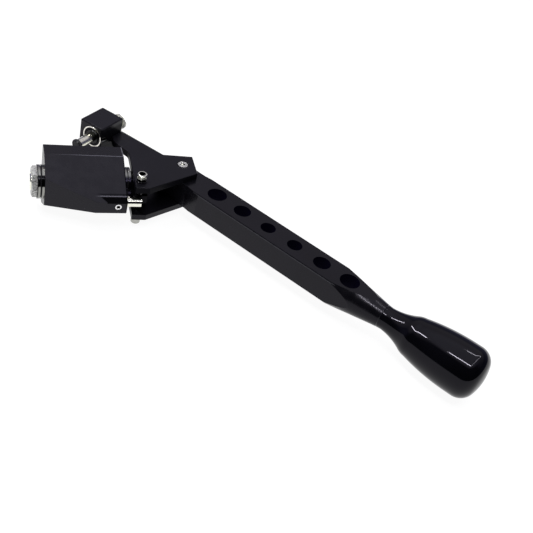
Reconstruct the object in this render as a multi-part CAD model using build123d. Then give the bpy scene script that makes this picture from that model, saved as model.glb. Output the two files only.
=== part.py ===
from build123d import *
import math
import os

# Short shift lever for a gearbox. Lengths are millimetres, +Z is up.
# While it is built, +X runs from the pivot along the lever to the knob and
# the centre line of the lever bar is at y = 0, z = 0. Everything is moved
# at the end so that the object stands on z = 0 in the middle of its box.

# Length of cutting shapes that go right through
through = 120.0
hex_corner_angle = 30.0     # slope of the turned-off corners of nuts and bolt heads

# Directions and the two axes the lever turns on
shaft_yaw = 52.5            # angle of the shift shaft from the lever, in plan
arm_yaw = 6.5               # angle of the linkage arm from the lever, in plan
shaft_w = 48.5              # distance of the shaft axis, across the shaft
bolt_u = -82.7              # place of the upright pivot bolt along the shaft
bolt_w = 28.8               # place of the upright pivot bolt across the shaft

# Pivot housing
housing_u0 = -163.6         # end with the lock nut
housing_u1 = -95.0          # end with the knuckle
housing_top = 24.5
housing_base = -28.2
housing_back = 70.5
housing_crease = 55.3       # where the flat top turns into the slope
housing_nose = 14.5
nose_top = 4.3
nose_bottom = -7.3
under_crease_w = 33.5
under_crease_z = -14.4
nose_cut_u = -122.0         # where the slanted cut of the nose begins
nose_cut_w = 33.5           # where it ends on the nut end
housing_edge = 0.8
housing_end_edge = 0.5
mount_hole_r = 2.5          # two tapped holes in the flat base
mount_hole_depth = 12.0
mount_pitch = 44.0
mount_w = 63.5
pocket_depth = 0.8          # shallow pocket along the top of the nose
pocket_w0 = 15.0
pocket_w1 = 19.0
pocket_length = 22.0

# Shift shaft, its bushes and the discs on both ends
shaft_r = 8.0
bush_wall = 2.0
bush_length = 18.0
running_gap = 0.05
disc_r = 15.0
disc_inner_t = 2.6
disc_outer_t = 2.4
friction_disc_r = 13.6
friction_disc_t = 0.8
lock_nut_af = 24.0
lock_nut_t = 4.6
lock_nut_turn = 30.0
thread_tip = 1.2
shaft_edge = 1.0
shaft_setback = 4.0         # shaft end stops short of the knuckle's end face

# Knuckle that joins the shaft to the upright bolt
flange_r = 11.5
flange_t = 2.6
knuckle_r = 10.5
knuckle_length = 15.0
lug_half = 4.0
lug_front = 24.85
lug_half_width = 6.6
lug_bush_wall = 0.75
lug_corner = 4.0            # lug corner beside the bolt, on the housing side
lug_flare = 2.0             # extra half width where the lug meets the boss
lug_root = 6.0              # how far behind the bolt the lug reaches full width
knuckle_edge = 1.5
knuckle_pin_r = 2.0
knuckle_pin_place = 6.0     # from the flange face
knuckle_pin_sink = 1.0
knuckle_pin_edge = 0.4

# Fork plates
bar_width = 30.0
bar_height = 24.0
fork_plate_t = 6.0
plate_edge = 0.5
fork_back_w = 70.5
fork_near = (-89.0, 18.5)   # corners of both plates, along and across the shaft
fork_tip = (-76.5, 18.0)
fork_slant = (-28.7, 42.1)
fork_far = (-28.1, fork_back_w - 1.8)
fork_back = (-55.5, fork_back_w)
fork_root = (-87.5, fork_back_w)

# Pivot bolt through the fork
bolt_r = 2.5
bolt_head_r = 4.25
bolt_head_t = 9.0
bolt_head_edge = 1.0
bolt_key_af = 4.0
bolt_key_depth = 2.4
bolt_washer_r = 5.0
bolt_washer_t = 1.2
nut_af = 8.0
nut_t = 4.3
nut_collar_r = 4.2
nut_collar_t = 2.1
nut_collar_edge = 0.5
nut_turn = 10.0
bolt_tip = 2.0
spacer_r = 3.3

# Stop pin and its set screw
stop_r = 4.25
stop_w = 20.0
stop_z = 0.9
stop_end = -80.6
stop_inside = 24.0
stop_edge = 0.8
stop_slant = 18.0           # slope of the free end, degrees
stop_slant_back = 0.7
stop_flat_w = 18.0          # flat under the set screw
stop_flat_margin = 1.0
set_screw_u = -102.7
set_screw_z = -1.0
set_screw_r = 3.0
set_screw_sink = 0.4
set_screw_key_af = 3.0
peg_r = 1.0
peg_rise = 1.4
peg_u = -93.8

# Lever bar, its holes and the turned neck
hole_first = -23.5
hole_pitch = 29.3
hole_end_r = 9.0
hole_next_r = 8.0
hole_mid_r = 7.0
bar_inner_w = fork_back_w - 4.1
bar_inner_u = -60.0
relief_x0 = -49.0           # bar is slightly narrower from here inwards
relief_x1 = -34.0
relief_in = 2.0
bar_edge = 1.0
neck_x = 161.0              # seam between bar and knob
neck_r = 10.7
turn_back = 54.0            # the turned taper begins this far before the seam
turn_r0 = 19.5
turn_run = 8.0              # the taper is straight up to here before the seam
turn_r1 = 11.9
turn_mid = 4.0
turn_mid_r = 11.25
stud_r = 6.0
stud_length = 34.0
stud_edge = 0.8

# Knob, with places measured from the seam
knob_length = 96.4
waist_d = 4.5               # thinnest place of the neck
waist_r = 10.35
flare_mid_d = 16.0
flare_mid_r = 12.4
shoulder_d0 = 26.0
shoulder_r0 = 16.6
shoulder_mid_d = 29.0
shoulder_mid_r = 17.75
shoulder_d1 = 32.5
barrel_d = 75.0             # where the barrel is thickest
barrel_r = 23.4
barrel_arc = 185.0
knob_nose = 15.4            # from the end of the barrel to the tip
dome_rise = 1.4             # the domed end stands this far beyond the corner arc

# Countersunk screws that hold bar and plates together
csk_x = -68.3
csk_y = 2.2
csk_r = 3.0
csk_head_r = 6.0
csk_head_t = 3.3
csk_top_length = 16.0
csk_bottom_length = 14.0
csk_key_af = 4.0
csk_key_depth = 2.4

# Linkage arm, drawn in the lever's plan, and its block
arm_bend_a = (-111.6, -25.6)
arm_bend_b = (-126.4, -24.9)
arm_bend_c = (-132.5, -23.4)
arm_near_y = 1.2           # where the near edge of the arm meets the block
block_x = -149.2
block_y = -22.2
block_length = 24.5
block_width = 31.2
block_top = 31.9
block_edge = 0.8

# Spherical bearing and the bolt through it, placed in the block's own frame
race_r = 10.4
race_t = 8.0
race_edge = 0.5
ball_r = 7.94
ball_width = 9.0
bearing_z = 19.5
bearing_x = 2.0
link_r = 4.0
link_head_af = 13.0
link_head_t = 5.3
link_head_turn = 12.0
link_head_place = 45.0      # middle of the head, behind the front face of the block
link_washer_r = 7.5
link_washer_t = 1.6
clip_r = 5.4
clip_t = 1.0
link_front = 21.0
link_tip = 0.6
link_edge = 0.8
sleeve_r = 4.8
front_sleeve_r = 4.4
cavity_r = 9.0
liner_t = 0.5
liner_width = 7.0


def shaft_frame(shape):
    """Turn a shape drawn with x along the shaft into the lever's frame."""
    return shape.rotate(Axis.Z, shaft_yaw)


def plan(u, w):
    """Plan position of a point given along and across the shaft."""
    a = math.radians(shaft_yaw)
    x = u * math.cos(a) - w * math.sin(a)
    y = u * math.sin(a) + w * math.cos(a)
    return (x, y)


def prism(points, z0, z1):
    """Upright prism over a plan outline."""
    face = make_face(Polyline(*points, close=True))
    return extrude(face, z1 - z0).moved(Location((0, 0, z0)))


def rod(radius, length):
    """Cylinder from the origin up +Z."""
    return Cylinder(radius, length, align=(Align.CENTER, Align.CENTER, Align.MIN))


def along_shaft(shape, u, w, z=0.0):
    """Lay a shape built up +Z along the shaft, starting at u."""
    return shape.rotate(Axis.Y, 90).moved(Location((u, w, z)))


def hexagon(across_flats, thickness, turn=0.0):
    """Hexagonal prism up +Z with its corners turned off on the far side."""
    corner = across_flats / math.sqrt(3)
    body = extrude(RegularPolygon(corner, 6, rotation=turn), thickness)
    slope = (corner - across_flats / 2) * math.tan(math.radians(hex_corner_angle))
    turned = Cone(corner, across_flats / 2, slope, align=(Align.CENTER, Align.CENTER, Align.MIN))
    limit = rod(corner, thickness - slope) + turned.moved(Location((0, 0, thickness - slope)))
    return body & limit


def hex_socket(across_flats, depth):
    """Cutting shape of a hexagon socket, from the origin up +Z."""
    return extrude(RegularPolygon(across_flats / math.sqrt(3), 6), depth)


def circle_edges(shape):
    """Round edges from the lowest to the highest."""
    return shape.edges().filter_by(GeomType.CIRCLE).sort_by(Axis.Z)


def upright_hole(radius):
    return rod(radius, through).moved(Location((0, 0, -through / 2)))


# Axial stack of the parts on the shaft
right_liner_u = housing_u1 + disc_inner_t
right_outer_u = right_liner_u + friction_disc_t
flange_u = right_outer_u + disc_outer_t
boss_u = flange_u + flange_t
boss_end = boss_u + knuckle_length
left_liner_u = housing_u0 - disc_inner_t
left_outer_u = left_liner_u - friction_disc_t
nut_u = left_outer_u - disc_outer_t
shaft_left = nut_u - lock_nut_t - thread_tip
shaft_right = boss_end - shaft_setback
knuckle_pin_u = boss_u + knuckle_pin_place
lug_bush_r = bolt_r + running_gap + lug_bush_wall
bush_bore_r = shaft_r + running_gap
bush_r = shaft_r + running_gap + bush_wall
plate_z = bar_height / 2


def housing():
    section = Polyline(
        (housing_back, housing_top),
        (housing_crease, housing_top),
        (housing_nose, nose_top),
        (housing_nose, nose_bottom),
        (under_crease_w, under_crease_z),
        (housing_crease, housing_base),
        (housing_back, housing_base),
        close=True,
    )
    face = make_face(section)
    length = housing_u1 - housing_u0
    body = extrude(Plane.YZ.offset(housing_u0) * face, length)
    # slanted cut that narrows the nose towards the nut end
    run = nose_cut_u - housing_u0
    rise = nose_cut_w - housing_nose
    cut = prism([(housing_u0 - run, nose_cut_w + rise), (nose_cut_u, housing_nose),
                 (nose_cut_u, housing_nose - rise), (housing_u0 - run, housing_nose - rise)],
                -through / 2, through / 2)
    body = body - cut
    body = chamfer(body.edges().filter_by(Axis.X).sort_by(Axis.Y)[-2:], housing_edge)
    ends = body.faces().filter_by(Axis.X)
    body = chamfer(ends.sort_by(Axis.X)[-1].outer_wire().edges(), housing_end_edge)
    # bore for the two bushes
    body = body - along_shaft(rod(bush_r, length + 2), housing_u0 - 1, shaft_w)
    # blind hole for the stop pin
    hole = along_shaft(rod(stop_r, stop_inside + 1), housing_u1 - stop_inside, stop_w, stop_z)
    body = body - hole
    # set screw hole from the nose to the pin
    tap = rod(set_screw_r, stop_flat_w - housing_nose + 1).rotate(Axis.X, -90)
    body = body - tap.moved(Location((set_screw_u, housing_nose - 1, set_screw_z)))
    # shallow pocket along the top of the nose
    slope = math.atan2(housing_top - nose_top, housing_crease - housing_nose)
    mid_w = (pocket_w0 + pocket_w1) / 2
    mid_z = nose_top + (mid_w - housing_nose) * math.tan(slope)
    wide = (pocket_w1 - pocket_w0) / math.cos(slope)
    pocket = prism([(housing_u1 + 1, -wide / 2), (housing_u1 + 1, wide / 2),
                    (housing_u1 - pocket_length, wide / 2),
                    (housing_u1 - pocket_length + wide, -wide / 2)],
                   -pocket_depth, housing_top)
    pocket = pocket.rotate(Axis.X, math.degrees(slope)).moved(Location((0, mid_w, mid_z)))
    body = body - pocket
    # threaded mounting holes in the flat base
    screw = rod(mount_hole_r, mount_hole_depth + 1)
    middle = (housing_u0 + housing_u1) / 2
    for side in (-0.5, 0.5):
        place = Location((middle + side * mount_pitch, mount_w, housing_base - 1))
        body = body - screw.moved(place)
    return shaft_frame(body)


def shift_shaft():
    length = shaft_right - shaft_left
    bar = rod(shaft_r, length)
    bar = chamfer(circle_edges(bar)[0], shaft_edge)
    shape = along_shaft(bar, shaft_left, shaft_w)
    # cross hole for the knuckle pin
    shape = shape - upright_hole(knuckle_pin_r).moved(Location((knuckle_pin_u, shaft_w, 0)))
    return shaft_frame(shape)


def bush(u, direction):
    """Flangeless bronze bush pressed into the housing bore."""
    ring = rod(bush_r, bush_length) - rod(bush_bore_r, bush_length)
    start = u if direction > 0 else u - bush_length
    return shaft_frame(along_shaft(ring, start, shaft_w))


def disc(u, thickness, radius=disc_r, bore=None):
    inner = bore if bore else shaft_r + running_gap
    return along_shaft(rod(radius, thickness) - rod(inner, thickness), u, shaft_w)


def disc_pair(u_first, u_second, thickness, radius=disc_r):
    """The same disc on both ends of the housing."""
    first = shaft_frame(disc(u_first, thickness, radius))
    second = shaft_frame(disc(u_second, thickness, radius))
    return Compound([first, second])


def lock_nut():
    nut = hexagon(lock_nut_af, lock_nut_t, lock_nut_turn) - rod(shaft_r, lock_nut_t)
    nut = nut.rotate(Axis.X, 180).moved(Location((0, 0, lock_nut_t)))
    return shaft_frame(along_shaft(nut, nut_u - lock_nut_t, shaft_w))


def knuckle():
    flange = along_shaft(rod(flange_r, flange_t), flange_u, shaft_w)
    boss = rod(knuckle_r, knuckle_length)
    boss = chamfer(circle_edges(boss)[-1], knuckle_edge)
    body = flange + along_shaft(boss, boss_u, shaft_w)
    # flat lug from the boss out to the upright bolt
    lug = prism([(bolt_u - lug_corner, lug_front), (bolt_u + lug_half_width, lug_front),
                 (bolt_u + lug_half_width + lug_flare, shaft_w), (boss_u, shaft_w),
                 (boss_u, bolt_w + lug_root)], -lug_half, lug_half)
    body = body + lug
    body = body - along_shaft(rod(shaft_r, shaft_right - flange_u), flange_u, shaft_w)
    body = body - upright_hole(lug_bush_r).moved(Location((bolt_u, bolt_w, 0)))
    body = body - upright_hole(knuckle_pin_r).moved(Location((knuckle_pin_u, shaft_w, 0)))
    return shaft_frame(body)


def knuckle_pin():
    length = 2 * (knuckle_r - knuckle_pin_sink)
    pin = rod(knuckle_pin_r, length)
    pin = chamfer(circle_edges(pin), knuckle_pin_edge)
    return shaft_frame(pin.moved(Location((knuckle_pin_u, shaft_w, -length / 2))))


def lug_bush():
    ring = rod(lug_bush_r, 2 * lug_half) - rod(bolt_r + running_gap, 2 * lug_half)
    return shaft_frame(ring.moved(Location((bolt_u, bolt_w, -lug_half))))


def bolt_spacers():
    height = plate_z - lug_half - running_gap
    ring = rod(spacer_r, height) - rod(bolt_r, height)
    high = ring.moved(Location((bolt_u, bolt_w, lug_half + running_gap)))
    low = ring.moved(Location((bolt_u, bolt_w, -plate_z)))
    return Compound([shaft_frame(high), shaft_frame(low)])


def stop_pin():
    length = stop_end - (housing_u1 - stop_inside)
    pin = rod(stop_r, length)
    pin = chamfer(circle_edges(pin)[-1], stop_edge)
    body = along_shaft(pin, housing_u1 - stop_inside, stop_w, stop_z)
    # flat under the set screw
    flat = Box(2 * (set_screw_r + stop_flat_margin), stop_r, 2 * stop_r,
               align=(Align.CENTER, Align.MAX, Align.CENTER))
    body = body - flat.moved(Location((set_screw_u, stop_flat_w, stop_z)))
    # slanted free end
    slant = Box(2 * stop_r, 4 * stop_r, 4 * stop_r, align=(Align.MIN, Align.CENTER, Align.CENTER))
    slant = slant.rotate(Axis.Z, -stop_slant)
    slant = slant.moved(Location((stop_end - stop_slant_back, stop_w, stop_z)))
    body = body - slant
    # small peg on top of the root
    peg = rod(peg_r, stop_r + peg_rise)
    body = body + peg.moved(Location((peg_u, stop_w, stop_z)))
    return shaft_frame(body)


def set_screw():
    start = housing_nose + set_screw_sink
    length = stop_flat_w - start
    screw = rod(set_screw_r, length) - hex_socket(set_screw_key_af, length / 2)
    screw = screw.rotate(Axis.X, -90)
    return shaft_frame(screw.moved(Location((set_screw_u, start, set_screw_z))))


def fork_outline():
    """Outline shared by both fork plates."""
    corners = [fork_near, fork_tip, fork_slant, fork_far, fork_back, fork_root]
    return [plan(u, w) for u, w in corners]


def plate_holes(body):
    x, y = plan(bolt_u, bolt_w)
    body = body - upright_hole(bolt_r).moved(Location((x, y, 0)))
    return body - upright_hole(csk_r).moved(Location((csk_x, csk_y, 0)))


def block_location():
    return Location((block_x, block_y, 0), (0, 0, arm_yaw))


def block_point(x, y):
    """Plan position of a point given in the block's own frame."""
    a = math.radians(arm_yaw)
    return (block_x + x * math.cos(a) - y * math.sin(a), block_y + x * math.sin(a) + y * math.cos(a))


def arm_outline():
    """Arm of the top plate, from the fork out to the block."""
    near = block_point(block_length / 2, arm_near_y)
    far = block_point(block_length / 2, block_width / 2)
    return [plan(*fork_root), arm_bend_a, arm_bend_b, arm_bend_c, near, far, plan(*fork_back)]


def top_plate():
    top = plate_z + fork_plate_t
    body = prism(fork_outline(), plate_z, top) + prism(arm_outline(), plate_z, top)
    body = chamfer(body.faces().sort_by(Axis.Z)[-1].outer_wire().edges(), plate_edge)
    sink = Cone(csk_r, csk_head_r, csk_head_t, align=(Align.CENTER, Align.CENTER, Align.MAX))
    return plate_holes(body) - sink.moved(Location((csk_x, csk_y, top)))


def bottom_plate():
    under = -plate_z - fork_plate_t
    body = prism(fork_outline(), under, -plate_z)
    body = chamfer(body.faces().sort_by(Axis.Z)[0].outer_wire().edges(), plate_edge)
    sink = Cone(csk_head_r, csk_r, csk_head_t, align=(Align.CENTER, Align.CENTER, Align.MIN))
    return plate_holes(body) - sink.moved(Location((csk_x, csk_y, under)))


def csk_screw(length):
    """Countersunk socket screw, head face at z = 0, shank down."""
    head = Cone(csk_r, csk_head_r, csk_head_t, align=(Align.CENTER, Align.CENTER, Align.MAX))
    shank = rod(csk_r, length).moved(Location((0, 0, -length)))
    return head + shank - hex_socket(csk_key_af, -csk_key_depth)


def csk_place(high, low):
    """Put one shape down from the top plate and one up from the bottom plate."""
    high = high.moved(Location((csk_x, csk_y, plate_z + fork_plate_t)))
    low = low.moved(Location((csk_x, csk_y, -plate_z - fork_plate_t)))
    return Compound([high, low])


def csk_screws():
    low = csk_screw(csk_bottom_length).rotate(Axis.X, 180)
    return csk_place(csk_screw(csk_top_length), low)


def pivot_bolt():
    x, y = plan(bolt_u, bolt_w)
    under = plate_z + fork_plate_t + bolt_washer_t
    above = plate_z + fork_plate_t + bolt_washer_t + nut_t + nut_collar_t
    shank = rod(bolt_r, under + above - bolt_tip)
    head = rod(bolt_head_r, bolt_head_t)
    head = chamfer(circle_edges(head)[0], bolt_head_edge)
    head = head - hex_socket(bolt_key_af, bolt_key_depth)
    body = shank.moved(Location((0, 0, -under))) + head.moved(Location((0, 0, -under - bolt_head_t)))
    return body.moved(Location((x, y, 0)))


def bolt_washers():
    x, y = plan(bolt_u, bolt_w)
    ring = rod(bolt_washer_r, bolt_washer_t) - rod(bolt_r, bolt_washer_t)
    high = ring.moved(Location((x, y, plate_z + fork_plate_t)))
    low = ring.moved(Location((x, y, -plate_z - fork_plate_t - bolt_washer_t)))
    return Compound([high, low])


def pivot_nut():
    x, y = plan(bolt_u, bolt_w)
    nut = hexagon(nut_af, nut_t, nut_turn)
    collar = rod(nut_collar_r, nut_collar_t).moved(Location((0, 0, nut_t)))
    collar = chamfer(circle_edges(collar)[-1], nut_collar_edge)
    nut = nut + collar - rod(bolt_r, nut_t + nut_collar_t)
    return nut.moved(Location((x, y, plate_z + fork_plate_t + bolt_washer_t)))


def lever_bar():
    start = -through
    align = (Align.MIN, Align.CENTER, Align.CENTER)
    body = Box(neck_x - start, bar_width, bar_height, align=align).moved(Location((start, 0, 0)))
    body = chamfer(body.edges().filter_by(Axis.X), bar_edge)
    # slightly narrower beside the plates
    for side in (-1, 1):
        outer = side * bar_width
        edge = side * bar_width / 2
        inner = side * (bar_width / 2 - relief_in)
        body = body - prism([(relief_x1, outer), (relief_x1, edge), (relief_x0, inner),
                             (start, inner), (start, outer)], -bar_height, bar_height)
    # square to round neck, cut by a turned profile
    turn_x0 = neck_x - turn_back
    turn_x1 = neck_x - turn_run
    corner = Polyline((start, 0), (start, bar_width), (turn_x0, bar_width), (turn_x0, turn_r0))
    taper = Line((turn_x0, turn_r0), (turn_x1, turn_r1))
    run_out = ThreePointArc((turn_x1, turn_r1), (neck_x - turn_mid, turn_mid_r), (neck_x, neck_r))
    back = Polyline((neck_x, neck_r), (neck_x, 0), (start, 0))
    body = body & revolve(make_face(corner + taper + run_out + back), Axis.X)
    # graduated lightening holes
    for number, radius in enumerate(hole_radii()):
        body = body - upright_hole(radius).moved(Location((hole_first + number * hole_pitch, 0, 0)))
    # two cut faces at the inner end stay clear of the knuckle
    reach = neck_x - start
    inner_end = prism([(bar_inner_u, bar_inner_w), (bar_inner_u, -reach), (reach, -reach),
                       (reach, bar_inner_w)], -bar_height, bar_height)
    body = body & shaft_frame(inner_end)
    # threads for the knob stud and for the two countersunk screws
    body = body - knob_stud_place(rod(stud_r, stud_length))
    shank = rod(csk_r, csk_top_length).rotate(Axis.X, 180)
    return body - csk_place(shank, rod(csk_r, csk_bottom_length))


def hole_radii():
    return [hole_end_r, hole_next_r, hole_mid_r, hole_mid_r, hole_next_r, hole_end_r]


def barrel_radius(d):
    """Radius of the long convex side of the knob, at a distance from the seam."""
    return barrel_r - barrel_arc + math.sqrt(barrel_arc ** 2 - (d - barrel_d) ** 2)


def knob():
    # drawn with x measured from the seam
    neck = ThreePointArc((0, neck_r), (waist_d / 2, (neck_r + 2 * waist_r) / 3), (waist_d, waist_r))
    flare = ThreePointArc((waist_d, waist_r), (flare_mid_d, flare_mid_r), (shoulder_d0, shoulder_r0))
    shoulder_r1 = barrel_radius(shoulder_d1)
    shoulder = ThreePointArc((shoulder_d0, shoulder_r0), (shoulder_mid_d, shoulder_mid_r),
                             (shoulder_d1, shoulder_r1))
    middle = (shoulder_d1 + barrel_d) / 2
    side = ThreePointArc((shoulder_d1, shoulder_r1), (middle, barrel_radius(middle)), (barrel_d, barrel_r))
    barrel_end = knob_length - knob_nose
    straight = Line((barrel_d, barrel_r), (barrel_end, barrel_r))
    # the end dome is centred on the axis and runs smoothly out of the corner arc
    corner_arc = knob_nose - dome_rise
    inner = barrel_r - corner_arc
    dome = (knob_nose ** 2 + inner ** 2 - corner_arc ** 2) / (2 * dome_rise)
    centre = knob_length - dome
    reach = math.hypot(barrel_end - centre, inner)
    meet = (centre + dome * (barrel_end - centre) / reach, dome * inner / reach)
    half = math.atan2(meet[1] - inner, meet[0] - barrel_end) / 2 + math.pi / 4
    bend = (barrel_end + corner_arc * math.cos(half), inner + corner_arc * math.sin(half))
    corner = ThreePointArc((barrel_end, barrel_r), bend, meet)
    turn = math.asin(meet[1] / dome) / 2
    end = ThreePointArc(meet, (centre + dome * math.cos(turn), dome * math.sin(turn)), (knob_length, 0))
    start = Polyline((knob_length, 0), (0, 0), (0, neck_r))
    outline = neck + flare + shoulder + side + straight + corner + end + start
    body = revolve(make_face(outline), Axis.X).moved(Location((neck_x, 0, 0)))
    return body - knob_stud_place(rod(stud_r, stud_length))


def knob_stud_place(shape):
    """Lay a shape built up +Z on the lever's axis, half in the bar and half in the knob."""
    return shape.rotate(Axis.Y, 90).moved(Location((neck_x - stud_length / 2, 0, 0)))


def knob_stud():
    stud = rod(stud_r, stud_length)
    return knob_stud_place(chamfer(circle_edges(stud), stud_edge))


def link_place():
    """Ball centre, with +Y pointing out of the front face of the block."""
    front = block_width / 2 - race_t / 2
    return block_location() * Location((bearing_x, -front, bearing_z)) * Location((0, 0, 0), (0, 0, 180))


def across_link(shape, start):
    """Lay a shape built up +Z along the link bolt, starting in front of the ball."""
    return shape.rotate(Axis.X, -90).moved(Location((0, start, 0))).moved(link_place())


def link_block():
    body = Box(block_length, block_width, block_top, align=(Align.CENTER, Align.CENTER, Align.MIN))
    body = chamfer(body.edges(), block_edge)
    body = body.moved(block_location())
    body = body - across_link(rod(race_r, race_t + 1), -race_t / 2)
    body = body - across_link(rod(cavity_r, block_width + 2), -block_width)
    return body


def bearing_race():
    ring = rod(race_r, race_t).moved(Location((0, 0, -race_t / 2)))
    ring = chamfer(circle_edges(ring), race_edge)
    ring = ring - Sphere(ball_r + liner_t + 2 * running_gap)
    return ring.rotate(Axis.X, -90).moved(link_place())


def bearing_liner():
    zone = rod(race_r, liner_width).moved(Location((0, 0, -liner_width / 2)))
    ring = (Sphere(ball_r + running_gap + liner_t) & zone) - Sphere(ball_r + running_gap)
    return ring.rotate(Axis.X, -90).moved(link_place())


def bearing_ball():
    ball = Sphere(ball_r) & rod(race_r, ball_width).moved(Location((0, 0, -ball_width / 2)))
    ball = ball - upright_hole(link_r)
    return ball.rotate(Axis.X, -90).moved(link_place())


ball_back = ball_width / 2
head_back = link_head_place - race_t / 2 - link_head_t / 2
washer_back = head_back - link_washer_t
sleeve_back = washer_back - ball_back
front_end = link_front + race_t / 2


def link_bolt():
    shank = rod(link_r, head_back + front_end + link_tip)
    shank = chamfer(circle_edges(shank)[-1], link_edge)
    head = hexagon(link_head_af, link_head_t, link_head_turn).rotate(Axis.X, 180)
    return across_link(shank + head, -head_back)


def rear_sleeve():
    ring = rod(sleeve_r, sleeve_back) - rod(link_r, sleeve_back)
    return across_link(ring, -washer_back)


def front_sleeve():
    length = front_end - clip_t - ball_back
    ring = rod(front_sleeve_r, length) - rod(link_r, length)
    return across_link(ring, ball_back)


def link_washer():
    ring = rod(link_washer_r, link_washer_t) - rod(link_r, link_washer_t)
    return across_link(ring, -head_back)


def link_clip():
    ring = rod(clip_r, clip_t) - rod(link_r, clip_t)
    return across_link(ring, front_end - clip_t)


def nodes():
    return {
        "pivot_housing": housing(),
        "shift_shaft": shift_shaft(),
        "shaft_bush_nut_end": bush(housing_u0, 1),
        "shaft_bush_knuckle_end": bush(housing_u1, -1),
        "thrust_washers_housing_side": disc_pair(left_liner_u, housing_u1, disc_inner_t),
        "thrust_washers_shaft_side": disc_pair(nut_u, right_outer_u, disc_outer_t),
        "thrust_liners": disc_pair(left_outer_u, right_liner_u, friction_disc_t, friction_disc_r),
        "shaft_lock_nut": lock_nut(),
        "shaft_knuckle": knuckle(),
        "knuckle_pin": knuckle_pin(),
        "pivot_bush": lug_bush(),
        "pivot_spacers": bolt_spacers(),
        "pivot_bolt": pivot_bolt(),
        "pivot_washers": bolt_washers(),
        "pivot_nut": pivot_nut(),
        "stop_pin": stop_pin(),
        "stop_pin_set_screw": set_screw(),
        "fork_top_plate": top_plate(),
        "fork_bottom_plate": bottom_plate(),
        "fork_countersunk_screws": csk_screws(),
        "lever_bar": lever_bar(),
        "knob_stud": knob_stud(),
        "knob": knob(),
        "link_block": link_block(),
        "link_bearing_race": bearing_race(),
        "link_bearing_liner": bearing_liner(),
        "link_bearing_ball": bearing_ball(),
        "link_bolt": link_bolt(),
        "link_sleeve_rear": rear_sleeve(),
        "link_sleeve_front": front_sleeve(),
        "link_washer": link_washer(),
        "link_retaining_ring": link_clip(),
    }


def main():
    os.makedirs("parts", exist_ok=True)
    shapes = nodes()
    boxes = [shape.bounding_box() for shape in shapes.values()]
    low = [min(box.min.X for box in boxes), min(box.min.Y for box in boxes)]
    high = [max(box.max.X for box in boxes), max(box.max.Y for box in boxes)]
    floor = min(box.min.Z for box in boxes)
    shift = (-(low[0] + high[0]) / 2, -(low[1] + high[1]) / 2, -floor)
    for name, shape in shapes.items():
        placed = shape.moved(Location(shift))
        count = len(placed.solids())
        small = placed.bounding_box()
        print(name, count, round(placed.volume), [round(v, 2) for v in (
            small.min.X, small.min.Y, small.min.Z, small.max.X, small.max.Y, small.max.Z)])
        export_step(placed, os.path.join("parts", name + ".step"))
    print("shift", [round(v, 4) for v in shift])


main()
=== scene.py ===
import bpy
import math
from mathutils import Matrix, Vector


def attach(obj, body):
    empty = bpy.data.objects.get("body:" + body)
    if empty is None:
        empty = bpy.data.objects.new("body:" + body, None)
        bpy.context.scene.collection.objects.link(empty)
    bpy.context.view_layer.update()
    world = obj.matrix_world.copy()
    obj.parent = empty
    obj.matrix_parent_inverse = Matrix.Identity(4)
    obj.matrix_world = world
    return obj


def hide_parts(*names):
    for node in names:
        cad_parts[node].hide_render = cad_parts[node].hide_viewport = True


# Looks of the short shifter. Lengths are in metres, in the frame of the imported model.

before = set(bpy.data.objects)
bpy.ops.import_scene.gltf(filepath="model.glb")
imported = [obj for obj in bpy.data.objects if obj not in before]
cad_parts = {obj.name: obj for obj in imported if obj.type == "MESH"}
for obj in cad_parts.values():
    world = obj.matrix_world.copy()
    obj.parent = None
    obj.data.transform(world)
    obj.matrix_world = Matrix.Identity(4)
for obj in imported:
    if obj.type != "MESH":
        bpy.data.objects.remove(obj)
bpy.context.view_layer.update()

# The lever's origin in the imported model, and directions on the object
LEVER_ORIGIN = Vector((-0.0471767, 0.0463517, 0.0282))
SHAFT_YAW = math.radians(52.5)
BLOCK_YAW = math.radians(6.5)
UP = (0, 0, 1)
ALONG_BAR = (1, 0, 0)
ACROSS_BAR = (0, 1, 0)
ALONG_SHAFT = (math.cos(SHAFT_YAW), math.sin(SHAFT_YAW), 0)
ACROSS_SHAFT = (-math.sin(SHAFT_YAW), math.cos(SHAFT_YAW), 0)
LINK_FRONT = (math.sin(BLOCK_YAW), -math.cos(BLOCK_YAW), 0)

# Middles of round pieces, measured from the lever's origin
LINK_CENTRE = (-0.1458993, -0.0334987, 0.0195)
PIVOT = (-0.0732, -0.0481, 0)
COUNTERSUNK_SCREW = (-0.0683, 0.0022, 0)
SET_SCREW = tuple(-0.1027 * part for part in ALONG_SHAFT[:2]) + (-0.001,)

# Viewing direction of the photograph in degrees, distance and aim in metres, lens in millimetres
VIEW_TURN = 25.12
VIEW_HEIGHT = 39.40
VIEW_ROLL = 17.38
VIEW_DISTANCE = 0.714870
VIEW_RIGHT = -0.028786
VIEW_UP = 0.043650
VIEW_LENS = 53.396

# Fineness of the noises, in waves per metre
CLOUDS = 38.0
WEAR = 420.0
PATCHES = 150.0
GRAIN = 2600.0
TOOL_MARKS = 900.0
KNOB_CLOUDS = 30.0
KNOB_MARKS = 60.0

# Colours
BLUE_SHEEN = (0.90, 0.865, 1.0, 1.0)
DEEP_BLACK = (0.0030, 0.0029, 0.0042)
# painted shade: the edges of most black pieces are coloured darker than their faces
DARK_EDGE = (0.0010, 0.0010, 0.0014)
WORN_EDGE = (0.020, 0.020, 0.023)
SHADE = (0.010, 0.010, 0.012)
# painted shade for the hollows and rims of round pieces
RECESS_SHADE = (0.012, 0.012, 0.014)

# Edge masks, for worn edges, painted shade on edges and paler rims, and the blur at the border of a
# mask
BLACK_EDGE_RADIUS = 0.00035
METAL_EDGE_RADIUS = 0.00022
EDGE_SAMPLES = 6
MASK_SOFTNESS = 0.00015

# Sideways cut of the housing's nose, as a slope
NOSE_SLANT = 1.1


# Shader helpers
def new_material(name):
    mat = bpy.data.materials.new(name)
    mat.use_nodes = True
    tree = mat.node_tree
    return mat, tree, tree.nodes["Principled BSDF"]


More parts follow.
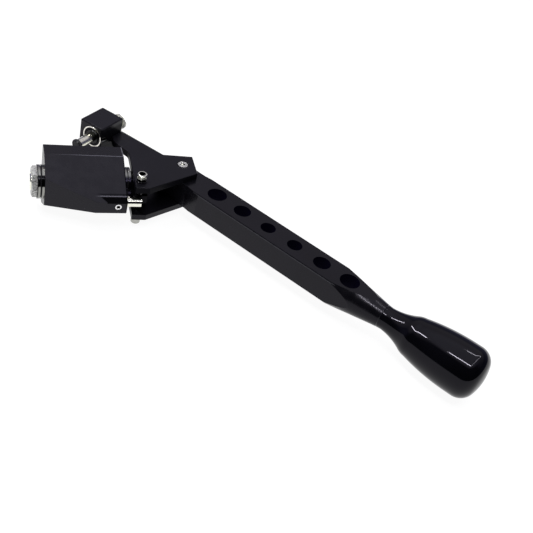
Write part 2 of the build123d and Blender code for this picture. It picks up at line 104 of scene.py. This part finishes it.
def feed(tree, value, socket):
    """Link another socket to a socket, or set it to a plain value."""
    if isinstance(value, bpy.types.NodeSocket):
        tree.links.new(value, socket)
    else:
        socket.default_value = value


def new_node(tree, kind, **inputs):
    made = tree.nodes.new("ShaderNode" + kind)
    for name, value in inputs.items():
        feed(tree, value, made.inputs[name.replace("_", " ")])
    return made


def calc(tree, operation, *values):
    """Result of one step of arithmetic on sockets or plain numbers."""
    made = new_node(tree, "Math")
    made.operation = operation
    for socket, value in zip(made.inputs, values):
        feed(tree, value, socket)
    return made.outputs[0]


def vector_calc(tree, operation, first, second):
    made = new_node(tree, "VectorMath")
    made.operation = operation
    feed(tree, first, made.inputs[0])
    feed(tree, second, made.inputs[1])
    return made.outputs["Value" if operation == "DOT_PRODUCT" else "Vector"]


def split(tree, vector):
    """The X, Y and Z outputs for a vector."""
    return new_node(tree, "SeparateXYZ", Vector=vector).outputs


def noise(tree, scale, detail, stretch=None):
    """Noise from 0 to 1 that keeps its place on the object."""
    place = new_node(tree, "TexCoord").outputs["Object"]
    if stretch:
        place = new_node(tree, "Mapping", Vector=place, Scale=stretch).outputs["Vector"]
    return new_node(tree, "TexNoise", Vector=place, Scale=scale, Detail=detail).outputs["Fac"]


def ramp(tree, source, stops):
    """Colour or grey level between stops, each a place and a value."""
    made = new_node(tree, "ValToRGB", Fac=source)
    elements = made.color_ramp.elements
    while len(elements) < len(stops):
        elements.new(0.5)
    for element, (place, value) in zip(elements, stops):
        element.position = place
        element.color = (*value, 1) if isinstance(value, tuple) else (value, value, value, 1)
    return made.outputs["Color"]


def mix(tree, factor, first, second):
    made = new_node(tree, "Mix")
    made.data_type = "RGBA"
    for name, value in (("Factor", factor), ("A", first), ("B", second)):
        socket = next(s for s in made.inputs if s.name == name and s.enabled)
        feed(tree, (*value, 1) if isinstance(value, tuple) else value, socket)
    return next(s for s in made.outputs if s.enabled)


def bump(tree, shader, height, strength, distance, normal=None):
    made = new_node(tree, "Bump", Height=height, Strength=strength, Distance=distance)
    if normal:
        feed(tree, normal, made.inputs["Normal"])
    feed(tree, made.outputs["Normal"], shader.inputs["Normal"])


def edge_mask(tree, radius):
    """White along sharp edges and black on flats, with the normal of the rounded edge."""
    bevel = new_node(tree, "Bevel", Radius=radius)
    bevel.samples = EDGE_SAMPLES
    soft = bevel.outputs["Normal"]
    flat = new_node(tree, "NewGeometry").outputs["Normal"]
    agreement = vector_calc(tree, "DOT_PRODUCT", soft, flat)
    return ramp(tree, agreement, [(0.80, 1.0), (0.985, 0.0)]), soft


# Masks: 1 inside and 0 outside
def along(tree, direction):
    """Distance of a surface point from the lever's origin along a direction."""
    coords = new_node(tree, "TexCoord").outputs["Object"]
    from_origin = vector_calc(tree, "SUBTRACT", coords, LEVER_ORIGIN)
    return vector_calc(tree, "DOT_PRODUCT", from_origin, direction)


def step(tree, value, low, high):
    """0 below low and 1 above high, or the other way round if low is above high."""
    made = new_node(tree, "MapRange", Value=value, From_Min=low, From_Max=high)
    made.interpolation_type = "SMOOTHSTEP"
    return made.outputs["Result"]


def overlap(tree, first, *others):
    """Where all the masks are 1."""
    for other in others:
        first = calc(tree, "MULTIPLY", first, other)
    return first


def between(tree, value, low, high, soft=MASK_SOFTNESS):
    return overlap(tree, step(tree, value, low - soft, low), step(tree, value, high + soft, high))


def radius_about(tree, centre, axis):
    """Distance from a line through a point that is measured from the lever's origin."""
    axis = Vector(axis).normalized()
    first = axis.orthogonal().normalized()
    squares = []
    for side in (first, axis.cross(first)):
        gap = calc(tree, "SUBTRACT", along(tree, side), Vector(centre).dot(side))
        squares.append(calc(tree, "MULTIPLY", gap, gap))
    return calc(tree, "SQRT", calc(tree, "ADD", *squares))


# Changes to a finished material inside a mask
def recolour(mat, mask, tone):
    tree = mat.node_tree
    colour = tree.nodes["Principled BSDF"].inputs["Base Color"]
    feed(tree, mix(tree, mask, colour.links[0].from_socket, tone), colour)


def dull(mat, mask, keep):
    """Keep only a share of the shine."""
    tree = mat.node_tree
    level = tree.nodes["Principled BSDF"].inputs["Specular IOR Level"]
    before = level.links[0].from_socket if level.links else level.default_value
    share = calc(tree, "SUBTRACT", 1.0, calc(tree, "MULTIPLY", mask, 1.0 - keep))
    feed(tree, calc(tree, "MULTIPLY", share, before), level)


def dark_band(mat, direction, low, high, tone=SHADE):
    """Dark between two distances along a direction."""
    tree = mat.node_tree
    recolour(mat, between(tree, along(tree, direction), low, high), tone)


def keep_ring(mat, centre, axis, inner, outer):
    """Bright only between two radii about an axis, with painted shade inside and outside them."""
    tree = mat.node_tree
    radius = radius_about(tree, centre, axis)
    recolour(mat, step(tree, radius, inner, inner - 0.0003), RECESS_SHADE)
    recolour(mat, step(tree, radius, outer, outer + 0.0002), RECESS_SHADE)


# Kinds of surface
def anodised(name, base, edge, rough, level=0.36, edge_shine=1.0, rounded=True):
    """Black billet with fine grain, faint clouds, and edges that are paler with wear or darker with
    painted shade, and may be duller.
    """
    mat, tree, shader = new_material(name)
    dim, lit = (tuple(share * c for c in base) for share in (0.80, 1.2))
    tone = ramp(tree, noise(tree, CLOUDS, 3.0), [(0.3, dim), (0.7, lit)])
    edges, soft = edge_mask(tree, BLACK_EDGE_RADIUS)
    wear = ramp(tree, noise(tree, WEAR, 2.0), [(0.35, 0.25), (0.65, 1.0)])
    # a paler edge colour is wear; a darker edge colour is painted shade
    edge_wear_and_shade = mix(tree, edges, (0.0, 0.0, 0.0), wear)
    feed(tree, mix(tree, edge_wear_and_shade, tone, edge), shader.inputs["Base Color"])
    patches = ramp(tree, noise(tree, PATCHES, 4.0), [(0.3, rough - 0.04), (0.7, rough + 0.06)])
    feed(tree, patches, shader.inputs["Roughness"])
    shader.inputs["Specular IOR Level"].default_value = level
    shader.inputs["Specular Tint"].default_value = BLUE_SHEEN
    if edge_shine < 1.0:
        dull(mat, edges, edge_shine)
    bump(tree, shader, noise(tree, GRAIN, 2.0), 0.06, 0.00004, soft if rounded else None)
    return mat


def metal(name, base, rough, marks=TOOL_MARKS, dark=0.7, metallic=1.0, relief=0.10):
    """Bright turned or plated steel with fine tool marks and a paler rim."""
    mat, tree, shader = new_material(name)
    lines = noise(tree, marks, 3.0)
    tone = ramp(tree, lines, [(0.3, tuple(dark * c for c in base)), (0.62, base)])
    edges, soft = edge_mask(tree, METAL_EDGE_RADIUS)
    rim = tuple(min(1.0, 1.15 * c) for c in base)
    feed(tree, mix(tree, edges, tone, rim), shader.inputs["Base Color"])
    patches = noise(tree, marks * 0.4, 4.0)
    patches = ramp(tree, patches, [(0.3, rough * 0.9), (0.7, rough * 1.15)])
    feed(tree, patches, shader.inputs["Roughness"])
    shader.inputs["Metallic"].default_value = metallic
    bump(tree, shader, lines, relief, 0.00003, soft)
    return mat


def gloss_black(name):
    """Polished black with a faint orange peel and hairline handling marks."""
    mat, tree, shader = new_material(name)
    tone = ramp(tree, noise(tree, KNOB_CLOUDS, 3.0),
                [(0.3, (0.0010, 0.0010, 0.0016)), (0.7, (0.0018, 0.0018, 0.0028))])
    feed(tree, tone, shader.inputs["Base Color"])
    marks = noise(tree, KNOB_MARKS, 6.0, (9.0, 1.0, 1.0))
    feed(tree, ramp(tree, marks, [(0.35, 0.060), (0.75, 0.072)]), shader.inputs["Roughness"])
    shader.inputs["Specular IOR Level"].default_value = 0.19
    shader.inputs["Specular Tint"].default_value = BLUE_SHEEN
    bump(tree, shader, noise(tree, KNOB_MARKS, 1.0), 0.005, 0.00010)
    return mat


# Fine marks on the black pieces
def detail_housing(mat):
    """Painted shade in the pocket in the nose, and painted highlight lines and dull lines along the
    machined edges.
    """
    tree = mat.node_tree
    u = along(tree, ALONG_SHAFT)
    w = along(tree, ACROSS_SHAFT)
    z = along(tree, UP)

    slanted_end = calc(tree, "ADD", u, calc(tree, "MULTIPLY", w, NOSE_SLANT))
    # painted shade: the pocket is coloured near black and made dull
    pocket_shade = overlap(tree, step(tree, slanted_end, -0.0970, -0.0966),
                     between(tree, w, 0.0140, 0.0190), step(tree, z, 0.0028, 0.0032))
    recolour(mat, pocket_shade, (0.0004, 0.0004, 0.0006))
    dull(mat, pocket_shade, 0.10)

    # over the pocket a painted highlight line, and a dull one above it
    fade = step(tree, u, -0.1240, -0.1150)
    slope = step(tree, z, 0.0, 0.001)
    dull(mat, overlap(tree, fade, between(tree, w, 0.0209, 0.0221), slope), 0.35)
    pocket_highlight = overlap(tree, fade, between(tree, w, 0.0197, 0.0202), slope)

    # the end at the knuckle is dull up to the crease and has a painted highlight on the corner
    end = between(tree, u, -0.0959, -0.09505, 0.00005)
    dull(mat, overlap(tree, end, step(tree, w, 0.0545, 0.0540)), 0.12)
    top = step(tree, z, 0.020, 0.021)
    corner = overlap(tree, end, step(tree, w, 0.0550, 0.0556), top)
    crease = overlap(tree, between(tree, w, 0.0551, 0.0556), top, step(tree, u, -0.1640, -0.1150))
    # painted highlights along the pocket's edge, the crease and the corner
    lines = calc(tree, "MAXIMUM", pocket_highlight, calc(tree, "MAXIMUM", crease, corner))
    recolour(mat, lines, (0.085, 0.083, 0.100))


def detail_bar(mat):
    """Painted shade in the bores, a painted highlight line on the near edge and dull lines on the
    far and lower edges.
    """
    tree = mat.node_tree
    x = along(tree, ALONG_BAR)
    y = along(tree, ACROSS_BAR)
    z = along(tree, UP)
    # painted shade: the bore walls are coloured bluish black and made dull
    bore_shade = overlap(tree, step(tree, x, 0.1330, 0.1322),
                    between(tree, y, -0.0096, 0.0096), between(tree, z, -0.0117, 0.0117))
    recolour(mat, bore_shade, (0.0034, 0.0026, 0.0095))
    dull(mat, bore_shade, 0.05)
    square = step(tree, x, 0.125, 0.115)
    dull(mat, overlap(tree, square, step(tree, y, 0.0139, 0.0142)), 0.2)
    dull(mat, overlap(tree, square, step(tree, z, -0.0110, -0.0113)), 0.2)
    # painted highlight along the bar's near upper edge
    near_edge_highlight = overlap(tree, square, step(tree, y, -0.0140, -0.0142),
                        between(tree, z, 0.0108, 0.0113))
    recolour(mat, near_edge_highlight, (0.030, 0.030, 0.034))


def detail_top_plate(mat):
    """Less shine on the cut sides than on top."""
    tree = mat.node_tree
    facing = split(tree, new_node(tree, "NewGeometry").outputs["Normal"])
    dull(mat, step(tree, facing["Z"], 0.9, 0.5), 0.18)


def detail_block(mat):
    """Less shine on the face beside the arm, most of all low down."""
    tree = mat.node_tree
    facing = split(tree, new_node(tree, "NewGeometry").outputs["Normal"])
    right = step(tree, facing["X"], 0.85, 0.95)
    dull(mat, right, 0.60)
    dull(mat, overlap(tree, right, step(tree, along(tree, UP), 0.0290, 0.0260)), 0.30)


def detail_washers(mat):
    """Thin dark seams, painted shade on the washers at the knuckle end, and a painted dark
    reflection band on those at the nut end.
    """
    tree = mat.node_tree
    for seam in (-0.1694, -0.1661, -0.0919, -0.0893):
        dark_band(mat, ALONG_SHAFT, seam - 0.0005, seam + 0.0005)
    # painted shade: the washers at the knuckle end are coloured darker
    dark_band(mat, ALONG_SHAFT, -0.1000, -0.0800, (0.20, 0.20, 0.19))
    u = along(tree, ALONG_SHAFT)
    w = along(tree, ACROSS_SHAFT)
    z = along(tree, UP)
    # painted reflection: a dark band across the near side of the washers at the nut end
    nut_end = overlap(tree, step(tree, u, -0.1600, -0.1610), step(tree, w, 0.0440, 0.0420))
    recolour(mat, overlap(tree, nut_end, between(tree, z, 0.0050, 0.0122, 0.0006)),
             (0.005, 0.005, 0.006))
    # painted shade on the lower part of the washers at the knuckle end
    knuckle_end = step(tree, u, -0.0980, -0.0960)
    recolour(mat, overlap(tree, knuckle_end, step(tree, z, 0.0140, 0.0120)), (0.020, 0.018, 0.030))


HOUSING = anodised("housing_black", DEEP_BLACK, DARK_EDGE, 0.26, 0.258, 0.35, rounded=False)
PLATES = anodised("fork_black", DEEP_BLACK, DARK_EDGE, 0.34, 0.21, 0.35)
TOP_PLATE = anodised("top_plate_black", DEEP_BLACK, DARK_EDGE, 0.34, 0.21, 0.35)
BAR = anodised("bar_black", DEEP_BLACK, WORN_EDGE, 0.22, 0.20, 0.35, rounded=False)
BLOCK = anodised("block_black", DEEP_BLACK, DARK_EDGE, 0.30, 0.24, 0.30)
BLACK_STEEL = anodised("blackened_steel", (0.004, 0.004, 0.005), (0.05, 0.05, 0.055), 0.2)
KNUCKLE = anodised("knuckle_black", (0.003, 0.003, 0.004), DARK_EDGE, 0.30, 0.06)
LINER = anodised("liner_plastic", (0.01, 0.01, 0.01), (0.02, 0.02, 0.02), 0.5)
KNOB = gloss_black("knob_gloss")
detail_housing(HOUSING)
detail_top_plate(TOP_PLATE)
detail_bar(BAR)
detail_block(BLOCK)

ZINC = metal("zinc_plated_steel", (0.86, 0.86, 0.74), 0.20)
GROUND = metal("ground_steel", (0.86, 0.86, 0.76), 0.12, marks=400.0, dark=0.90, relief=0.004)
LOCK_NUT = metal("lock_nut_steel", (0.50, 0.50, 0.49), 0.42, marks=700.0, dark=0.20, metallic=0.8)
# painted shade: the ball is coloured near black, as if deep in its bore
BALL = metal("shaded_ball_steel", (0.03, 0.03, 0.03), 0.25)
BRONZE = metal("sintered_bronze", (0.44, 0.29, 0.14), 0.38)
# a darker bronze for the pivot bush
DARK_BRONZE = metal("darker_bronze", (0.10, 0.07, 0.04), 0.38)
LINK = metal("link_bolt_steel", (0.92, 0.92, 0.88), 0.30, dark=0.85, metallic=0.5, relief=0.04)
dark_band(LINK, LINK_FRONT, 0.0330, 0.0700)
WASHER = metal("turned_washer_steel", (0.30, 0.30, 0.28), 0.18, dark=0.85, relief=0.04)
detail_washers(WASHER)
RACE = metal("bearing_steel", (0.90, 0.87, 0.80), 0.12)
keep_ring(RACE, LINK_CENTRE, LINK_FRONT, 0.0091, 0.0102)
CSK = metal("countersunk_steel", (0.62, 0.62, 0.60), 0.22, marks=500.0, dark=0.35)
keep_ring(CSK, COUNTERSUNK_SCREW, UP, 0.0004, 0.0044)
NUT = metal("pivot_nut_steel", (0.98, 0.98, 0.86), 0.20, dark=0.85, relief=0.03)
keep_ring(NUT, PIVOT, UP, 0.0032, 0.0090)
# painted shade: a dark line under the nut's collar, and a painted shadow at the nut's base
dark_band(NUT, UP, 0.0235, 0.0241)
dark_band(NUT, UP, 0.0170, 0.0211)
BOLT = metal("pivot_bolt_steel", (0.45, 0.45, 0.42), 0.22)
dark_band(BOLT, UP, 0.0180, 0.0400, (0.004, 0.004, 0.005))
SCREW = metal("set_screw_steel", (0.86, 0.86, 0.86), 0.16)
keep_ring(SCREW, SET_SCREW, ACROSS_SHAFT, 0.0018, 0.0027)

LOOKS = {
    "pivot_housing": HOUSING,
    "fork_top_plate": TOP_PLATE,
    "fork_bottom_plate": PLATES,
    "lever_bar": BAR,
    "link_block": BLOCK,
    "shaft_knuckle": KNUCKLE,
    "link_retaining_ring": BLACK_STEEL,
    "pivot_washers": BLACK_STEEL,
    "pivot_spacers": BLACK_STEEL,
    "pivot_bolt": BOLT,
    "pivot_nut": NUT,
    "pivot_bush": DARK_BRONZE,
    "knob": KNOB,
    "shift_shaft": GROUND,
    "knuckle_pin": GROUND,
    "stop_pin": GROUND,
    "knob_stud": GROUND,
    "thrust_washers_housing_side": WASHER,
    "thrust_washers_shaft_side": WASHER,
    "thrust_liners": LINER,
    "link_bearing_liner": LINER,
    "link_bearing_race": RACE,
    "link_bearing_ball": BALL,
    "shaft_bush_nut_end": BRONZE,
    "shaft_bush_knuckle_end": BRONZE,
    "link_bolt": LINK,
    "link_washer": LINK,
    "fork_countersunk_screws": CSK,
    "stop_pin_set_screw": SCREW,
    "shaft_lock_nut": LOCK_NUT,
}
for name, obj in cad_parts.items():
    obj.data.materials.clear()
    obj.data.materials.append(LOOKS.get(name, ZINC))
    for polygon in obj.data.polygons:
        polygon.material_index = 0


# Knob turned with finer facets, so that long highlights run straight.
KNOB_SEAM = 0.161
KNOB_SIDES = 144
# Its profile is in millimetres: distance from the seam with the bar, and radius.
SEAM_R = 10.7
WAIST = (4.5, 10.35)
FLARE_MIDDLE = (16.0, 12.4)
FLARE_END = (26.0, 16.6)
SHOULDER_MIDDLE = (29.0, 17.75)
BARREL_START = 32.5
BARREL_END = 75.0
BARREL_R = 23.4
BARREL_BULGE_R = 185.0
CORNER_START = 81.0
CORNER_R = 14.0
NOSE_LENGTH = 15.4
KNOB_LENGTH = CORNER_START + NOSE_LENGTH


def arc_points(start, middle, end, count):
    """Points after start on the arc through three points."""
    (ax, ay), (bx, by), (cx, cy) = start, middle, end
    d = 2 * (ax * (by - cy) + bx * (cy - ay) + cx * (ay - by))
    a, b, c = ax * ax + ay * ay, bx * bx + by * by, cx * cx + cy * cy
    ux = (a * (by - cy) + b * (cy - ay) + c * (ay - by)) / d
    uy = (a * (cx - bx) + b * (ax - cx) + c * (bx - ax)) / d
    radius = math.hypot(ax - ux, ay - uy)
    first = math.atan2(ay - uy, ax - ux)
    sweep = math.remainder(math.atan2(cy - uy, cx - ux) - first, 2 * math.pi)
    turns = [first + sweep * k / count for k in range(1, count + 1)]
    return [(ux + radius * math.cos(t), uy + radius * math.sin(t)) for t in turns]


def on_barrel(distance):
    """Point of the long bulging side."""
    bulge = math.sqrt(BARREL_BULGE_R ** 2 - (distance - BARREL_END) ** 2)
    return distance, BARREL_R - BARREL_BULGE_R + bulge


def on_arc(centre, radius, angle):
    return centre[0] + radius * math.cos(angle), centre[1] + radius * math.sin(angle)


def knob_profile():
    """Profile from the seam to the last ring before the tip."""
    seam = (0.0, SEAM_R)
    neck_middle = (WAIST[0] / 2, (SEAM_R + 2 * WAIST[1]) / 3)
    barrel_start = on_barrel(BARREL_START)
    barrel_end = (BARREL_END, BARREL_R)
    points = [seam]
    points += arc_points(seam, neck_middle, WAIST, 4)
    points += arc_points(WAIST, FLARE_MIDDLE, FLARE_END, 14)
    points += arc_points(FLARE_END, SHOULDER_MIDDLE, barrel_start, 6)
    points += arc_points(barrel_start, on_barrel((BARREL_START + BARREL_END) / 2), barrel_end, 16)
    corner_start = (CORNER_START, BARREL_R)
    points.append(corner_start)

    # rounded corner and shallow dome of the nose, which meet without a crease
    corner = (CORNER_START, BARREL_R - CORNER_R)
    dome_r = (NOSE_LENGTH ** 2 + corner[1] ** 2 - CORNER_R ** 2) / (2 * (NOSE_LENGTH - CORNER_R))
    dome = (KNOB_LENGTH - dome_r, 0)
    meet_angle = math.atan2(corner[1], corner[0] - dome[0])
    meet = on_arc(dome, dome_r, meet_angle)
    corner_angle = math.atan2(meet[1] - corner[1], meet[0] - corner[0])
    corner_middle = on_arc(corner, CORNER_R, corner_angle / 2 + math.pi / 4)
    points += arc_points(corner_start, corner_middle, meet, 14)
    points += arc_points(meet, on_arc(dome, dome_r, meet_angle / 2), (KNOB_LENGTH, 0), 6)[:-1]
    return points


def knob_point(distance, radius=0.0, angle=0.0):
    y, z = 0.001 * radius * math.cos(angle), 0.001 * radius * math.sin(angle)
    return LEVER_ORIGIN + Vector((KNOB_SEAM + 0.001 * distance, y, z))


def turned_knob():
    vertices, faces = [knob_point(0.0)], []
    for distance, radius in knob_profile():
        for side in range(KNOB_SIDES):
            vertices.append(knob_point(distance, radius, 2 * math.pi * side / KNOB_SIDES))
    tip = len(vertices)
    vertices.append(knob_point(KNOB_LENGTH))
    last = tip - KNOB_SIDES
    for side in range(KNOB_SIDES):
        after = (side + 1) % KNOB_SIDES
        faces.append((0, 1 + side, 1 + after))
        for low in range(1, last, KNOB_SIDES):
            high = low + KNOB_SIDES
            faces.append((low + side, high + side, high + after, low + after))
        faces.append((last + side, tip, last + after))
    mesh = bpy.data.meshes.new("turned_knob")
    mesh.from_pydata(vertices, [], faces)
    mesh.update()
    # smooth all over but for the flat end at the seam
    for polygon in mesh.polygons:
        polygon.use_smooth = 0 not in polygon.vertices
    mesh.materials.append(KNOB)
    piece = bpy.data.objects.new("turned_knob", mesh)
    bpy.context.scene.collection.objects.link(piece)
    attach(piece, "lever")
    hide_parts("knob")


# Floor, lights, camera and surroundings
FLOOR_HALF = 6.0
OVERHEAD = [
    (0.0, (0.09, 0.09, 0.15)), (0.42, (0.08, 0.08, 0.12)), (0.56, (0.26, 0.25, 0.272)),
    (0.80, (0.34, 0.327, 0.356)), (0.92, (0.52, 0.52, 0.56))]
TO_THE_RIGHT = [(0.55, 1.0), (0.85, (0.30, 0.30, 0.38))]
NEAR_SIDE = (0.42, -0.91, 0)
UNLIT = (0.04, 0.04, 0.045)
BACKDROP = (0.5, 0.5, 0.5)
ROOM_STRENGTH = 2.0


def make_floor():
    mesh = bpy.data.meshes.new("floor")
    corners = [(x * FLOOR_HALF, y * FLOOR_HALF, 0) for x, y in ((-1, -1), (1, -1), (1, 1), (-1, 1))]
    mesh.from_pydata(corners, [], [(0, 1, 2, 3)])
    floor = bpy.data.objects.new("floor", mesh)
    bpy.context.scene.collection.objects.link(floor)
    mat, tree, shader = new_material("pale_floor")
    shader.inputs["Base Color"].default_value = (0.10, 0.10, 0.10, 1)
    shader.inputs["Roughness"].default_value = 0.85
    shader.inputs["Specular IOR Level"].default_value = 0.1
    shader.inputs["Emission Color"].default_value = (1, 1, 1, 1)
    shader.inputs["Emission Strength"].default_value = 0.94
    mesh.materials.append(mat)


def rectangle_light(name, size, energy):
    data = bpy.data.lights.new(name, "AREA")
    data.shape = "RECTANGLE"
    data.size, data.size_y = size
    data.energy = energy
    light = bpy.data.objects.new(name, data)
    bpy.context.scene.collection.objects.link(light)
    return light


def card_light(name, place, side, energy, receivers):
    """Square light that faces the middle of the model and lights only the receivers."""
    light = rectangle_light(name, (side, side), energy)
    light.light_linking.receiver_collection = receivers
    light.location = place
    light.rotation_mode = "QUATERNION"
    light.rotation_quaternion = (-Vector(place)).to_track_quat("-Z", "Y")


def strip_light(name, start, end, width, radiance):
    """Thin light between two points, facing down."""
    start, end = Vector(start), Vector(end)
    across = end - start
    energy = radiance * math.pi * across.length * width
    light = rectangle_light(name, (across.length, width), energy)
    x_axis = across.normalized()
    y_axis = Vector(UP).cross(x_axis)
    turn = Matrix((x_axis, y_axis, Vector(UP))).transposed().to_4x4()
    light.matrix_world = Matrix.Translation((start + end) / 2) @ turn


def make_camera():
    turn, height, roll = (math.radians(v) for v in (VIEW_TURN, VIEW_HEIGHT, VIEW_ROLL))
    flat = math.cos(height)
    back = Vector((math.sin(turn) * flat, -math.cos(turn) * flat, math.sin(height)))
    level = Vector((math.cos(turn), math.sin(turn), 0))
    rise = back.cross(level)
    right = level * math.cos(roll) + rise * math.sin(roll)
    up = rise * math.cos(roll) - level * math.sin(roll)
    data = bpy.data.cameras.new("camera")
    data.lens = VIEW_LENS
    camera = bpy.data.objects.new("camera", data)
    place = LEVER_ORIGIN + back * VIEW_DISTANCE - right * VIEW_RIGHT - up * VIEW_UP
    axes = Matrix((right, up, back)).transposed().to_4x4()
    camera.matrix_world = Matrix.Translation(place) @ axes
    bpy.context.scene.collection.objects.link(camera)
    bpy.context.scene.camera = camera


def make_world():
    """Grey panel overhead, darker low down, to the right and on the near side of the table."""
    world = bpy.data.worlds.new("world")
    bpy.context.scene.world = world
    world.use_nodes = True
    tree = world.node_tree
    background = tree.nodes["Background"]
    direction = new_node(tree, "TexCoord").outputs["Generated"]
    axes = split(tree, direction)
    rise = ramp(tree, axes["Z"], OVERHEAD)
    side = ramp(tree, calc(tree, "MULTIPLY_ADD", axes["X"], 0.5, 0.5), TO_THE_RIGHT)
    near = vector_calc(tree, "DOT_PRODUCT", direction, NEAR_SIDE)
    room = overlap(tree, step(tree, near, 0.05, 0.40), step(tree, axes["Z"], 0.86, 0.76))
    lit = vector_calc(tree, "MULTIPLY", rise, mix(tree, room, side, UNLIT))
    camera_ray = new_node(tree, "LightPath").outputs["Is Camera Ray"]
    feed(tree, mix(tree, camera_ray, lit, BACKDROP), background.inputs["Color"])
    background.inputs["Strength"].default_value = ROOM_STRENGTH


turned_knob()

bright_parts = bpy.data.collections.new("bright_parts")
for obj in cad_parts.values():
    if obj.data.materials[0] in (LINK, GROUND, RACE, SCREW, CSK, LOCK_NUT):
        bright_parts.objects.link(obj)
make_floor()
make_world()
# the strips outline the overhead panel, and the cards are seen by the bright fasteners only
strip_light("panel_edge_left", (-0.95, 0.09, 1.0), (-0.36, -0.34, 1.0), 0.045, 90.0)
strip_light("panel_edge_right", (-0.05, -0.435, 1.0), (0.44, -0.38, 1.0), 0.03, 90.0)
strip_light("panel_end", (0.46, -0.36, 1.0), (0.62, 0.84, 1.0), 0.02, 22.0)
card_light("card_right", (1.0, 1.2, 0.55), 0.7, 20.0, bright_parts)
strip_light("panel_far_edge", (0.10, 0.42, 1.0), (0.62, 0.86, 1.0), 0.025, 34.0)
card_light("card_front", (-0.55, -1.15, 0.95), 0.3, 14.0, bright_parts)
card_light("card_back", (-0.30, 0.90, 1.10), 0.5, 14.0, bright_parts)
bpy.context.scene.view_settings.view_transform = "Standard"
make_camera()
